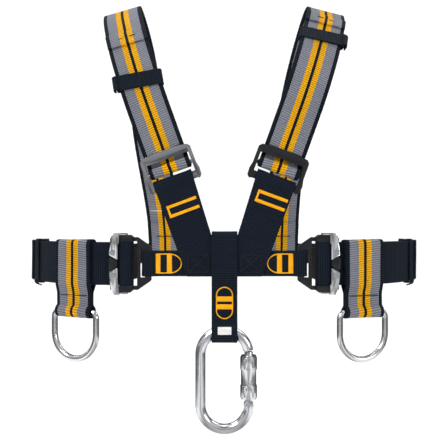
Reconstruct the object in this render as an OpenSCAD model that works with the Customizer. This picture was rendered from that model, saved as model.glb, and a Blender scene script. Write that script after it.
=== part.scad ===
// Chest harness for tree climbing: two shoulder straps, chest belt, side belts with
// quick buckles, side rings and an oval connector. Millimetres, +Z up, front towards -Y.
// The origin is where the shoulders carry it, midway between the two strap crests.

/* [Webbing] */
// Width of the shoulder, riser, side and ring webbing
wide_web = 45; // [40:0.5:46]
// Width of the chest, back and centre loop webbing
slim_web = 27; // [24:0.5:28]
// Thickness of the webbing
web_t = 2.2; // [1.8:0.1:2.3]

/* [Wearer] */
// Distance from the shoulder crest to the front of the chest
chest_depth = 142; // [138:1:150]
// Distance from the shoulder crest to the back belt
back_depth = 79.6; // [74:0.2:84]
// Half of the flat stretch across the chest
flat_half = 110; // [110:1:116]
// Drop from the shoulder crest to the middle of the belt
belt_drop = 298.5; // [290:0.5:310]

/* [Shoulder strap] */
// Sideways distance of each strap crest from the middle
crest_x = 122; // [118:1:126]
// Height of the curve over the shoulder at the front
front_rise = 130; // [110:1:135]
// Height of the curve over the shoulder at the back
back_rise = 110; // [90:1:130]
// How far the back of the left strap bows outward between crest and belt
left_bow = 8; // [0:0.5:12]
// Height of the left strap keeper below the crest
left_keeper_drop = 108; // [40:1:125]
// Height of the right strap keeper below the crest
right_keeper_drop = 57; // [40:1:125]

/* [Side ring] */
// Thickness of the ring's bar
ring_bar = 6.3; // [5.5:0.1:7]
// Outer width of the ring
ring_width = 60; // [59:0.5:62]
// Angle of the left ring loop round the flank
left_ring_angle = 25.4; // [19:0.2:32]
// Angle of the right ring loop round the flank
right_ring_angle = 18.4; // [18:0.2:32]

/* [Connector] */
// Thickness of the connector's bar
body_bar = 10.5; // [10:0.1:10.6]
// Height of the straight sides of the connector
body_straight = 52.7; // [52:0.1:56]

/* [Hidden] */
$fn = 48;

black_web = [0.10, 0.11, 0.13];
grey_web = [0.50, 0.51, 0.54];
polished = [0.80, 0.81, 0.83];
black_metal = [0.08, 0.08, 0.09];

half_t = web_t / 2;
front_y = -chest_depth;
belt_z = -belt_drop;

// Side belt: a quarter turn round each flank, about the flank centre
flank_r = (back_depth + chest_depth) / 2 + 1.2;
flank_y = front_y + flank_r;
tail_r = flank_r + web_t + 0.3;
back_r = flank_r - web_t - 0.2;
belt_lap = 104;

// Shoulder strap: the lean of its edge, as a slope of X over Z
crest_slope = 0.27;
front_slope = 0.37;
back_slope = 0.03;
strap_tilt = atan(front_slope);
strap_front_y = front_y + 4.1;
strap_back_y = back_depth + 2.5;
curve_end_drop = 181;
back_end_drop = belt_drop - slim_web / 2;
curve_end_x = crest_x - (crest_slope + front_slope) / 2 * curve_end_drop;

// Frame buckle: its own frame sits on the lower bar, leaning with the strap
lower_bar_to_curve = 35;
buckle_x = curve_end_x - lower_bar_to_curve * sin(strap_tilt);
buckle_z = half_t - curve_end_drop - lower_bar_to_curve * cos(strap_tilt);
slide_z = 14;
slide_travel = 2.5;
slide_eye_r = 4.1;

// Quick buckle: X is measured outward from the fork's inner end
fork_x = 76.5;
fork_half_t = 1.7;
prong_top = 27.6;
pin_x = 39.5;
pin_z = 11.7;
lever_pin_r = 2;

// Ring loop and ring
ring_eye_drop = 51;
ring_eye_r = 4.6;
ring_eye_n = 113.2 - 112 + flank_r;

// Centre loop and connector
loop_top_z = belt_z + 33.7;
eye_w = 1.2;
eye_z = belt_z - 72.2;
eye_r = 8.4;
oval_r = 25.2;
oval_top_z = eye_z + 2.3 - oval_r;
oval_low_z = oval_top_z - body_straight;
gate_r = 4.4;
pivot_r = 1.8;

// ---- helpers ----

module side(s) {
    if (s < 0) mirror([1, 0, 0]) children();
    else children();
}

// Unit vector of v, and the left-hand normal of a flat path at its point i
function unit(v) = v / norm(v);
function path_step(p, i) = unit(p[min(i + 1, len(p) - 1)] - p[max(i - 1, 0)]);
function offset_path(p, d) = [
    for (i = [0 : len(p) - 1]) p[i] + d * [-path_step(p, i)[1], path_step(p, i)[0]]
];
function reversed(p) = [for (i = [len(p) - 1 : -1 : 0]) p[i]];
function arc_path(c, r, a0, a1, n) = [
    for (i = [0 : n]) c + r * [cos(a0 + (a1 - a0) * i / n), sin(a0 + (a1 - a0) * i / n)]
];

// A ribbon seen on edge along a flat path, of the webbing's thickness
module ribbon_edge(p, t = web_t) {
    polygon(concat(offset_path(p, t / 2), reversed(offset_path(p, -t / 2))));
}

// Plan view ribbon, standing on edge with its width along Z
module standing_ribbon(p, width) {
    translate([0, 0, belt_z - width / 2]) linear_extrude(width) ribbon_edge(p);
}

// Frame at the flank: X along the belt, Y outward from the flank centre, Z up
module at_flank(angle) {
    translate([flat_half, flank_y, belt_z]) rotate([0, 0, angle]) mirror([0, 1, 0]) children();
}

module at_frame_buckle() {
    translate([buckle_x, front_y, buckle_z]) rotate([0, strap_tilt, 0]) children();
}

// The quick buckle's own frame has X outward, Y to the rear, Z up
module at_quick_buckle() {
    translate([fork_x, front_y, belt_z]) children();
}

// Flat outline in X and Z, given thickness from y0 back to y1
module upright(y0, y1) {
    translate([0, y1, 0]) rotate([90, 0, 0]) linear_extrude(y1 - y0) children();
}

// ---- shoulder strap ----

function slope_front(d) = crest_slope + (front_slope - crest_slope) * min(d / curve_end_drop, 1);
function slope_back(d) = crest_slope + (back_slope - crest_slope) * min(d / back_end_drop, 1);
function x_front(d) = d <= curve_end_drop
    ? crest_x - d * (crest_slope + slope_front(d)) / 2
    : curve_end_x - front_slope * (d - curve_end_drop);
function x_back(d) = d <= back_end_drop
    ? crest_x - d * (crest_slope + slope_back(d)) / 2
    : x_back(back_end_drop) - back_slope * (d - back_end_drop);
// Outward bow of the back run and its slope, both nothing at the crest and at the belt
function bow_x(d, bow) = bow * pow(sin(180 * min(d / back_end_drop, 1)), 2);
function bow_slope(d, bow) =
    -bow * PI / back_end_drop * sin(360 * min(d / back_end_drop, 1));

// Points as [y, z, front], front being 1 before the crest and 0 behind it
function slide_eye_path() = [
    for (q = concat(
        arc_path([0, slide_z + slide_travel], slide_eye_r, 50, 0, 4),
        arc_path([0, slide_z], slide_eye_r, 0, -180, 12),
        [[-slide_eye_r, slide_z + slide_travel]]
    )) [front_y - q[0], buckle_z + cos(strap_tilt) * q[1], 1]
];
function over_shoulder_path() = concat(
    [for (i = [0 : 15]) [
        strap_front_y * cos(90 * i / 16), half_t - front_rise * (1 - sin(90 * i / 16)), 1
    ]],
    [for (i = [0 : 14]) [
        strap_back_y * sin(90 * i / 14), half_t - back_rise * (1 - cos(90 * i / 14)), 0
    ]]
);
function back_eye_path() = [
    for (q = concat(
        [for (d = [128 : 18 : 236]) [strap_back_y, half_t - d]],
        [[strap_back_y, belt_z + 45], [strap_back_y, belt_z]],
        arc_path([back_depth, belt_z - slim_web / 2 - 0.4], 2.5, 0, -180, 8),
        [[back_depth - 2.5, belt_z + slim_web / 2 + 0.5], [back_depth + 0.1, belt_z + 20],
            [back_depth + 0.1, belt_z + 42]]
    )) [q[0], q[1], 0]
];
strap_path = concat(slide_eye_path(), over_shoulder_path(), back_eye_path());

function strap_drop(i) = half_t - strap_path[i][1];
function strap_slope(i, bow) = strap_path[i][2] == 1
    ? slope_front(strap_drop(i)) : slope_back(strap_drop(i)) + bow_slope(strap_drop(i), bow);
function strap_point(i, bow) = [
    strap_path[i][2] == 1
        ? x_front(strap_drop(i)) : x_back(strap_drop(i)) + bow_x(strap_drop(i), bow),
    strap_path[i][0], strap_path[i][1]
];
function strap_across(i, bow) = unit([1, 0, -strap_slope(i, bow)]);
function strap_along(i, bow) = unit(
    strap_point(min(i + 1, len(strap_path) - 1), bow) - strap_point(max(i - 1, 0), bow)
);
function strap_outward(i, bow) = unit(cross(strap_along(i, bow), strap_across(i, bow)));

module shoulder_strap(bow) {
    last = len(strap_path) - 1;
    points = [
        for (i = [0 : last], c = [[-1, -1], [1, -1], [1, 1], [-1, 1]])
            strap_point(i, bow) + strap_across(i, bow) * c[0] * wide_web / 2
                + strap_outward(i, bow) * c[1] * half_t
    ];
    faces = concat(
        [[0, 1, 2], [0, 2, 3]],
        [for (i = [0 : last - 1], k = [0 : 3]) [4 * i + k, 4 * i + 4 + k, 4 * i + (k + 1) % 4]],
        [for (i = [0 : last - 1], k = [0 : 3])
            [4 * i + (k + 1) % 4, 4 * i + 4 + k, 4 * i + 4 + (k + 1) % 4]],
        [[4 * last, 4 * last + 2, 4 * last + 1], [4 * last, 4 * last + 3, 4 * last + 2]]
    );
    color(grey_web) polyhedron(points, faces);
}

// Elastic band round the front of the strap, at a given height below the crest
module strap_keeper(drop) {
    lift = asin(1 - drop / front_rise);
    y = strap_front_y * cos(lift);
    across = unit([1, 0, -slope_front(drop)]);
    step = unit([-x_front(drop + 0.5) + x_front(drop - 0.5),
        strap_front_y * (cos(asin(1 - (drop - 0.5) / front_rise)) - cos(lift)) * 2, 1]);
    out = unit(cross(step, across));
    up = cross(across, out);
    c = [x_front(drop), y, half_t - drop];
    color(black_web) multmatrix([
        [across[0], out[0], up[0], c[0]],
        [across[1], out[1], up[1], c[1]],
        [across[2], out[2], up[2], c[2]],
        [0, 0, 0, 1]
    ]) translate([0, 0, -8.5]) linear_extrude(17) difference() {
        square([wide_web + 4.4, web_t + 4.4], center = true);
        square([wide_web + 1.2, web_t + 1.4], center = true);
    }
}

// ---- frame buckle ----

module frame_buckle(finish) {
    arm = 28;
    arm_inner = 24;
    top = 33;
    color(finish) at_frame_buckle() difference() {
        union() {
            upright(-2.6, 2.6) polygon([
                [-arm, 25], [arm, 25], [arm, top - 3], [arm - 3, top], [10, top + 1.6],
                [-10, top + 1.6], [3 - arm, top], [-arm, top - 3]
            ]);
            upright(-1.9, 1.9) square([2 * arm, 8], center = true);
            for (s = [-1, 1]) upright(-3.6, 3.6) polygon([
                [s * arm_inner, -4], [s * (arm - 2), -5], [s * (arm + 1), -2],
                [s * (arm + 1.5), 5], [s * arm, 12], [s * arm, 27], [s * (arm - 2), 29],
                [s * arm_inner, 28]
            ]);
        }
        translate([0, 0, slide_z]) rotate([0, 90, 0])
            cylinder(r = 2.1, h = 80, center = true);
        translate([0, 0, slide_z + slide_travel]) rotate([0, 90, 0])
            cylinder(r = 2.1, h = 80, center = true);
        translate([-40, -2.1, slide_z]) cube([80, 4.2, slide_travel]);
    }
}

module slide_bar(finish) {
    color(finish) at_frame_buckle() translate([0, 0, slide_z]) rotate([0, 90, 0]) {
        cylinder(r = 2.6, h = 46.8, center = true);
        cylinder(r = 1.9, h = 55.2, center = true);
    }
}

// ---- riser, from the frame buckle's lower bar to the chest belt ----

riser_path = concat(
    [[0, -38], [0, -13], [-3.5, -6.5]],
    arc_path([0, 3.2], 3.5, 180, 0, 10),
    [[3.5, -2], [2.4, -9], [2.4, -120]]
);

module riser() {
    color(black_web) intersection() {
        at_frame_buckle() translate([-wide_web / 2, 0, 0])
            rotate([90, 0, 90]) linear_extrude(wide_web) mirror([1, 0]) ribbon_edge(riser_path);
        upright(front_y - 20, front_y + 20) polygon([
            [0.3, belt_z - slim_web / 2], [0.3, belt_z + slim_web / 2],
            [slim_web / 2 + 0.4, loop_top_z - 4], [30, buckle_z + 12], [140, buckle_z + 12],
            [140, belt_z - slim_web / 2]
        ]);
    }
}

// ---- chest belt, looped round the fork at each end ----

eye_in = fork_x + 6;
chest_end_path = concat(
    [[48, front_y + web_t + 0.2], [fork_x - 4, front_y + web_t + 0.2],
        [fork_x - 1, front_y + 3.4]],
    arc_path([eye_in, front_y], 3.4, 90, -90, 10),
    [[fork_x - 1, front_y - 3.4], [fork_x - 4, front_y]]
);

module chest_belt() {
    mirrored = [for (p = reversed(chest_end_path)) [-p[0], p[1]]];
    color(black_web) standing_ribbon(concat(chest_end_path, mirrored), slim_web);
}

// ---- centre loop, hung on the chest belt and the risers ----

// A webbing loop seen on edge: an upper opening, a sewn waist and a round eye below.
// Y of the outlines is the thickness direction, outward is +
module hanging_loop(width, outer, opening, eye_at, eye_radius) {
    difference() {
        union() {
            linear_extrude(width) polygon(outer);
            translate([eye_at[0], eye_at[1], 0]) cylinder(r = eye_radius + web_t, h = width);
        }
        translate([0, 0, -1]) linear_extrude(width + 2) polygon(opening);
        translate([eye_at[0], eye_at[1], -1]) cylinder(r = eye_radius, h = width + 2);
    }
}

module centre_loop() {
    low = belt_z - slim_web / 2;
    color(black_web) translate([-slim_web / 2, front_y, 0]) rotate([90, 0, 90])
        mirror([1, 0, 0]) hanging_loop(
            slim_web,
            [
                [-3.7, loop_top_z], [6.1, loop_top_z], [6.1, low], [3.5, low - 5],
                [3.5, eye_z], [-1.1, eye_z], [-1.1, low - 5], [-3.7, low]
            ],
            [
                [-1.5, loop_top_z - web_t], [3.9, loop_top_z - web_t], [3.9, low],
                [eye_w, low - 4], [-1.5, low]
            ],
            [eye_w, eye_z], eye_r
        );
}

module loop_label() {
    label_r = eye_r + web_t + 0.1;
    color("white") translate([-7, front_y - eye_w, eye_z]) rotate([0, 90, 0])
        rotate([0, 0, -113]) rotate_extrude(angle = 40) translate([label_r, 0]) square([0.5, 14]);
}

// ---- quick buckle ----

module fork() {
    outline = [
        [1.5, -19], [0, -17.5], [0, 17.5], [1.5, 19], [14, prong_top], [29, prong_top],
        [30, 26.6], [30, 23.3], [15, 23.3], [15, -23.3], [30, -23.3], [30, -26.6],
        [29, -prong_top], [14, -prong_top]
    ];
    color(black_metal) at_quick_buckle() upright(-fork_half_t, fork_half_t) difference() {
        polygon(outline);
        translate([7, -14.6]) square([4.5, 29.2]);
        for (s = [-1, 1]) translate([24.2, s * prong_top - 1]) square([4.2, 2]);
    }
}

module buckle_body() {
    color(black_metal) at_quick_buckle() difference() {
        union() {
            upright(2.4, 4.4) polygon([
                [13, -15], [13, 15], [19, 17], [19, 27], [21, 29], [42, 29], [43, 27],
                [43, -27], [42, -29], [21, -29], [19, -27], [19, -17]
            ]);
            for (s = [-1, 1]) upright(-6.4, 4.4) polygon([
                [19, s * 22.9], [19, s * 28], [21.5, s * 30], [36, s * 30], [42.5, s * 26.5],
                [42.5, s * 22.9]
            ]);
            upright(-6.4, -4.4) translate([37, -23.5]) square([5.5, 47]);
        }
        for (s = [-1, 1]) {
            translate([18, -2.6, s > 0 ? 22.8 : -28.2]) cube([14.4, 5, 5.4]);
            translate([24, -1.8, s > 0 ? 27 : -31]) cube([7, 3.6, 4]);
        }
    }
}

module adjuster_bar() {
    color(black_metal) at_quick_buckle() translate([23, -4.6, -23.4]) cube([7.5, 2.7, 46.8]);
}

module lever_pins() {
    color(polished) at_quick_buckle() for (s = [-1, 1]) translate([pin_x, 0, s * pin_z])
        rotate([90, 0, 0]) {
            translate([0, 0, 5]) cylinder(r = lever_pin_r, h = 5);
            translate([0, 0, 9.9]) cylinder(r = 2.9, h = 0.7);
        }
}

module hub_cap() {
    color(black_metal) at_quick_buckle() upright(-9.2, -6.4) polygon([
        [34.6, -2.6], [34.6, 2.6], [42.2, 6.6], [43.6, 5], [43.6, -5], [42.2, -6.6]
    ]);
}

// Release lever: wing in front, arm round the cheek, dog in the prong's notch
module lever(s) {
    color(polished) at_quick_buckle() mirror([0, 0, s < 0 ? 1 : 0]) difference() {
        union() {
            upright(-9.7, -6.7) polygon([
                [34.2, 4.8], [35, 4.4], [42.8, 9.2], [42.4, 16], [41, 26], [38, 32],
                [33, 32], [33, 22], [34.2, 20]
            ]);
            translate([24.8, -1.4, 30.4]) cube([12.2, 2.8, 1.6]);
            translate([33, -9.7, 30.4]) cube([4, 11.1, 1.6]);
            translate([24.8, -1.4, 26.9]) cube([2.4, 2.8, 3.6]);
        }
        translate([pin_x, 0, pin_z]) rotate([90, 0, 0]) cylinder(r = lever_pin_r + 0.05, h = 12);
        translate([pin_x, 0, pin_z]) rotate([90, 0, 0]) cylinder(r = 3.3, h = 8);
    }
}

module lever_spring(s) {
    color(polished) at_quick_buckle() translate([pin_x, -6.55, s * pin_z]) rotate([90, 0, 0])
        difference() {
            cylinder(r = 3.1, h = 1.3);
            translate([0, 0, -1]) cylinder(r = 2.3, h = 4);
        }
}

// ---- side belt: tail outside, round the adjuster bar, main layer inside ----

wrap_x = fork_x + 23.65;
wrap_r = 3.05;
function flank_arc(r, a0, a1, n) = [
    for (i = [0 : n]) let (a = a0 + (a1 - a0) * i / n)
        [flat_half + r * sin(a), flank_y - r * cos(a)]
];

module side_belt() {
    belt_path = concat(
        flank_arc(tail_r, 78, 1, 26),
        [[fork_x + 35.5, front_y - web_t - 0.6], [fork_x + 31.5, front_y - 2 * wrap_r]],
        arc_path([wrap_x, front_y - wrap_r], wrap_r, -90, -270, 10),
        flank_arc(flank_r, 0, belt_lap, 34)
    );
    color(black_web) standing_ribbon(belt_path, wide_web);
}

module belt_keeper() {
    color(black_web) at_flank(58) translate([-6, flank_r + 1.3, 0]) rotate([90, 0, 90])
        linear_extrude(12) difference() {
            square([8.8, wide_web + 3.8], center = true);
            square([6, wide_web + 1], center = true);
        }
}

module back_belt() {
    half = concat(flank_arc(back_r, 92, 180, 28), [[crest_x / 2, flank_y + back_r]]);
    other = [for (p = reversed(half)) [-p[0], p[1]]];
    color(black_web) standing_ribbon(concat(half, other), slim_web);
}

// ---- ring loop and side ring ----

module ring_loop(angle) {
    n = ring_eye_n;
    top = wide_web / 2;
    color(grey_web) at_flank(angle) translate([-wide_web / 2, 0, 0]) rotate([90, 0, 90])
        hanging_loop(
            wide_web,
            [
                [n - 7.4, top + 2.6], [n + 5.2, top + 2.6], [n + 5.2, -top],
                [n + 2.3, -top - 8], [n + 2.3, -ring_eye_drop], [n - 2.3, -ring_eye_drop],
                [n - 2.3, -top - 8], [n - 7.4, -top]
            ],
            [
                [n - 5.2, top + 0.4], [n + 3, top + 0.4], [n + 3, -top],
                [n, -top - 7], [n - 5.2, -top]
            ],
            [n, -ring_eye_drop], ring_eye_r
        );
}

module bar_arc(r, start, sweep, bar) {
    rotate([90, 0, 0]) rotate([0, 0, start]) rotate_extrude(angle = sweep)
        translate([r, 0]) circle(r = bar / 2);
}

module side_ring(angle) {
    side_x = (ring_width - ring_bar) / 2;
    corner = 7;
    arm = 16.6;
    color(polished) at_flank(angle) translate([0, ring_eye_n, -ring_eye_drop]) {
        rotate([0, 90, 0]) cylinder(r = ring_bar / 2, h = 2 * (side_x - corner), center = true);
        for (s = [-1, 1]) {
            translate([s * side_x, 0, -corner - arm]) cylinder(r = ring_bar / 2, h = arm);
            translate([s * (side_x - corner), 0, -corner])
                bar_arc(corner, s > 0 ? 0 : 90, 90, ring_bar);
        }
        translate([0, 0, -corner - arm]) bar_arc(side_x, 180, 180, ring_bar);
    }
}

// ---- connector ----

module at_connector(z) {
    translate([0, front_y - eye_w, z]) children();
}

module connector_body() {
    nose_angle = 10;
    color(polished) difference() {
        union() {
            at_connector(oval_top_z) bar_arc(oval_r, 0, 180, body_bar);
            at_connector(oval_low_z) bar_arc(oval_r, 180, 180, body_bar);
            at_connector(oval_low_z) translate([-oval_r, 0, 0])
                cylinder(r = body_bar / 2, h = body_straight);
            at_connector(oval_low_z) translate([oval_r, 0, 0]) rotate([90, 0, 0])
                cylinder(r = body_bar / 2 - 0.15, h = body_bar - 1.5, center = true);
        }
        at_connector(oval_top_z) rotate([0, -nose_angle, 0]) translate([10, -10, -20])
            cube([30, 20, 20]);
        at_connector(oval_low_z) translate([oval_r - 8, -2.6, -7.2]) cube([16, 5.2, 16]);
        at_connector(oval_low_z) translate([oval_r, 0, 0]) rotate([90, 0, 0])
            cylinder(r = pivot_r, h = 20, center = true);
    }
}

module connector_gate() {
    gate_low = 5.9;
    gate_top = body_straight + 2.8;
    color(polished) at_connector(oval_low_z) translate([oval_r, 0, 0]) difference() {
        union() {
            translate([0, 0, gate_low]) cylinder(r = gate_r, h = gate_top - gate_low);
            rotate([90, 0, 0]) cylinder(r = 4.2, h = 4.8, center = true);
            translate([-3.6, -2.4, 0]) cube([7.2, 4.8, gate_low + 1]);
        }
        rotate([90, 0, 0]) cylinder(r = pivot_r + 0.05, h = 20, center = true);
        translate([0, 0, 14]) cylinder(r = 2, h = 26);
    }
}

module gate_pivot() {
    color(polished) at_connector(oval_low_z) translate([oval_r, 0, 0]) rotate([90, 0, 0])
        cylinder(r = pivot_r, h = body_bar - 1.5, center = true);
}

module gate_spring() {
    color(polished) at_connector(oval_low_z) translate([oval_r, 0, 14]) difference() {
        cylinder(r = 1.8, h = 25.8);
        translate([0, 0, -1]) cylinder(r = 1.2, h = 30);
    }
}

module locking_sleeve() {
    sleeve_low = 6.4;
    sleeve_h = 45.4;
    color(polished) at_connector(oval_low_z) translate([oval_r, 0, sleeve_low]) difference() {
        union() {
            cylinder(r = 8, h = sleeve_h);
            translate([0, 0, 2]) cylinder(r = 8.8, h = 12);
            translate([0, 0, sleeve_h - 14]) cylinder(r = 8.8, h = 12);
        }
        translate([0, 0, -1]) cylinder(r = gate_r + 0.08, h = sleeve_h + 2);
        for (z = [3.5, sleeve_h - 12.5], a = [0 : 60 : 300]) rotate([0, 0, a])
            translate([8.2, -1, z]) cube([2, 2, 9]);
    }
}

side(-1) shoulder_strap(left_bow);  // left_shoulder_strap
side(1) shoulder_strap(0);  // right_shoulder_strap
side(-1) strap_keeper(left_keeper_drop);  // left_strap_keeper
side(1) strap_keeper(right_keeper_drop);  // right_strap_keeper
side(-1) frame_buckle(polished);  // left_frame_buckle
side(1) frame_buckle(black_metal);  // right_frame_buckle
side(-1) slide_bar(polished);  // left_slide_bar
side(1) slide_bar(black_metal);  // right_slide_bar
side(-1) riser();  // left_riser
side(1) riser();  // right_riser
chest_belt();
centre_loop();
loop_label();
side(-1) fork();  // left_fork
side(1) fork();  // right_fork
side(-1) buckle_body();  // left_buckle_body
side(1) buckle_body();  // right_buckle_body
side(-1) adjuster_bar();  // left_adjuster_bar
side(1) adjuster_bar();  // right_adjuster_bar
side(-1) lever_pins();  // left_lever_pins
side(1) lever_pins();  // right_lever_pins
side(-1) hub_cap();  // left_hub_cap
side(1) hub_cap();  // right_hub_cap
side(-1) lever(1);  // left_upper_lever
side(-1) lever(-1);  // left_lower_lever
side(1) lever(1);  // right_upper_lever
side(1) lever(-1);  // right_lower_lever
side(-1) lever_spring(1);  // left_upper_lever_spring
side(-1) lever_spring(-1);  // left_lower_lever_spring
side(1) lever_spring(1);  // right_upper_lever_spring
side(1) lever_spring(-1);  // right_lower_lever_spring
side(-1) side_belt();  // left_side_belt
side(1) side_belt();  // right_side_belt
side(-1) belt_keeper();  // left_belt_keeper
side(1) belt_keeper();  // right_belt_keeper
back_belt();
side(-1) ring_loop(left_ring_angle);  // left_ring_loop
side(1) ring_loop(right_ring_angle);  // right_ring_loop
side(-1) side_ring(left_ring_angle);  // left_side_ring
side(1) side_ring(right_ring_angle);  // right_side_ring
connector_body();
connector_gate();
gate_pivot();
gate_spring();
locking_sleeve();
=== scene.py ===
import math

import bmesh
import bpy
import numpy as np
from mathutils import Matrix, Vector


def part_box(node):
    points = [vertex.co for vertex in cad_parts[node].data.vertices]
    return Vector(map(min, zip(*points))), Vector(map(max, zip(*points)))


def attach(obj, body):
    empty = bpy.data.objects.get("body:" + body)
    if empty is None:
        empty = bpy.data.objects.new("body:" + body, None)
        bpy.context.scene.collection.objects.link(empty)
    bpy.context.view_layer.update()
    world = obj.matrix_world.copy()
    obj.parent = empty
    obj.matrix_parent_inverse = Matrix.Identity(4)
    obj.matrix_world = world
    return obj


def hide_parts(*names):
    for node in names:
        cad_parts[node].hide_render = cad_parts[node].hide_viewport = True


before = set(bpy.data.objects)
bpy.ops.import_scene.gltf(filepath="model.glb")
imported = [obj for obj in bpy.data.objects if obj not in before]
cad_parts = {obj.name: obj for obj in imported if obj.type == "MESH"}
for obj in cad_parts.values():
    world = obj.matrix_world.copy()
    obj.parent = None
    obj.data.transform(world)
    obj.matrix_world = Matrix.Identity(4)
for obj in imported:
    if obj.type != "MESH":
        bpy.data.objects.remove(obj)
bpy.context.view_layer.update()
print("frame loaded:", len(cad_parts), "nodes")

mm = 0.001
webFace = 1.15  # mm from the middle of a ribbon to just under its face
threadLift = 0.2 * mm  # how far an outline stitch's middle stands off that face
upAxis = np.array([0.0, 0.0, 1.0])
rightAxis = np.array([1.0, 0.0, 0.0])


def middle(node):
    low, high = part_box(node)
    return (np.array(low) + np.array(high)) / 2


# Places that every piece is worked out from, read off the CAD nodes
place = {
    "frontY": middle("right_fork")[1],
    "beltZ": middle("chest_belt")[2],
    "backY": float(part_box("back_belt")[1][1]) - 1.1 * mm,
    "flatHalf": 110 * mm,
    "forkX": float(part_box("right_fork")[0][0]),
}
place["flankR"] = (place["backY"] - place["frontY"]) / 2 + 1.2 * mm
place["flankY"] = place["frontY"] + place["flankR"]


# A node tree with short calls: add a node, set its sockets by name or number, join by
# passing a socket
class Shader:
    def __init__(self, tree):
        self.tree = tree

    def add(self, kind, sockets=None, **settings):
        made = self.tree.nodes.new(kind)
        for key, value in settings.items():
            setattr(made, key, value)
        for key, value in (sockets or {}).items():
            if isinstance(value, bpy.types.NodeSocket):
                self.tree.links.new(value, made.inputs[key])
            else:
                made.inputs[key].default_value = value
        return made

    def math(self, operation, a, b=0.0, c=0.0):
        return self.add("ShaderNodeMath", {0: a, 1: b, 2: c}, operation=operation).outputs[0]


def newGroup(name, inputs, outputs):
    tree = bpy.data.node_groups.new(name, "ShaderNodeTree")
    for label, kind in inputs.items():
        tree.interface.new_socket(label, in_out="INPUT", socket_type=kind)
    for label, kind in outputs.items():
        tree.interface.new_socket(label, in_out="OUTPUT", socket_type=kind)
    shader = Shader(tree)
    return shader, shader.add("NodeGroupInput").outputs, shader.add("NodeGroupOutput")


def makeWeaveGroup():
    # Warp columns run along the strap. Height is |sin| across a column times a cosine along it,
    # with each column shifted a little against the last, so that the ribs slant as in a twill.
    shader, given, result = newGroup(
        "webbingWeave",
        {"Vector": "NodeSocketVector", "Across": "NodeSocketFloat",
         "Along": "NodeSocketFloat", "Shift": "NodeSocketFloat"},
        {"Height": "NodeSocketFloat", "Shade": "NodeSocketFloat"},
    )
    split = shader.add("ShaderNodeSeparateXYZ", {0: given["Vector"]}).outputs
    column = shader.math("DIVIDE", split[0], given["Across"])
    shift = shader.math("MULTIPLY", shader.math("FLOOR", column), given["Shift"])
    row = shader.math("ADD", shader.math("DIVIDE", split[1], given["Along"]), shift)
    wave = shader.math("COSINE", shader.math("MULTIPLY", row, 2 * math.pi))
    wave = shader.math("MULTIPLY_ADD", wave, 0.5, 0.5)
    bulge = shader.math("ABSOLUTE", shader.math("SINE", shader.math("MULTIPLY", column, math.pi)))
    bulge = shader.math("POWER", bulge, 0.6)
    height = shader.math("MULTIPLY", shader.math("MULTIPLY_ADD", wave, 0.85, 0.15), bulge)
    # Shade is painted shade: the colour is darker where Height is low, in the grooves between the
    # ribs
    shade = shader.math("MULTIPLY_ADD", height, 1.15, 0.36)
    shader.tree.links.new(height, result.inputs["Height"])
    shader.tree.links.new(shade, result.inputs["Shade"])
    return shader.tree


def makeWearGroup():
    # Two noises, one broad and one fine: Cloud is the broad one, Grain the fine one
    shader, given, result = newGroup(
        "surfaceWear",
        {"Vector": "NodeSocketVector", "Broad": "NodeSocketFloat", "Fine": "NodeSocketFloat"},
        {"Cloud": "NodeSocketFloat", "Grain": "NodeSocketFloat"},
    )
    for label, size, detail in (("Cloud", "Broad", 3.0), ("Grain", "Fine", 4.0)):
        noise = shader.add("ShaderNodeTexNoise", {
            "Vector": given["Vector"], "Scale": given[size], "Detail": detail})
        shader.tree.links.new(noise.outputs[0], result.inputs[label])
    return shader.tree


weaveGroup = makeWeaveGroup()
wearGroup = makeWearGroup()


def newMaterial(name):
    made = bpy.data.materials.new(name)
    made.use_nodes = True
    made.node_tree.nodes.clear()
    shader = Shader(made.node_tree)
    surface = shader.add("ShaderNodeBsdfPrincipled")
    shader.add("ShaderNodeOutputMaterial", {0: surface.outputs[0]})
    return made, shader, surface


def worn(shader, broad, fine):
    # The wear group on the object's own coordinates
    objectPlace = shader.add("ShaderNodeTexCoord").outputs["Object"]
    return shader.add("ShaderNodeGroup", {"Vector": objectPlace, "Broad": broad, "Fine": fine},
                      node_tree=wearGroup).outputs


def paint(shader, surface, colour, factor):
    # The base colour is the colour times a factor that changes over the surface
    tinted = shader.add("ShaderNodeVectorMath", {0: colour, 1: factor}, operation="MULTIPLY")
    shader.tree.links.new(tinted.outputs[0], surface.inputs["Base Color"])


def emboss(shader, surface, height, strength, depthMm):
    bump = shader.add("ShaderNodeBump", {
        "Height": height, "Strength": strength, "Distance": depthMm * mm})
    shader.tree.links.new(bump.outputs[0], surface.inputs["Normal"])


def rampOf(shader, value, stops):
    # A colour ramp with a stop for each start and colour
    ramp = shader.add("ShaderNodeValToRGB", {0: value})
    steps = ramp.color_ramp.elements
    while len(steps) < len(stops):
        steps.new(0.5)
    for step, (start, colour) in zip(steps, stops):
        step.position = start
        step.color = colour
    return ramp


def levelRamp(shader, value, bands):
    stops = [(start, (level, level, level, 1)) for start, level in bands]
    return rampOf(shader, value, stops).outputs[0]


webbingLook = {
    "columnMm": 1.3, "rowMm": 2.3, "shift": 0.06, "bumpMm": 0.8,
    "black": (0.0060, 0.0118, 0.0230, 1), "grey": (0.235, 0.245, 0.290, 1),
    "yellow": (0.86, 0.42, 0.004, 1), "edge": (0.0045, 0.0080, 0.0150, 1),
    # Share of the width where each colour starts, from one edge to the other
    "stripes": [(0.0, "edge"), (0.100, "grey"), (0.333, "yellow"), (0.462, "edge"),
                (0.538, "yellow"), (0.667, "grey"), (0.900, "edge")],
}


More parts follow.
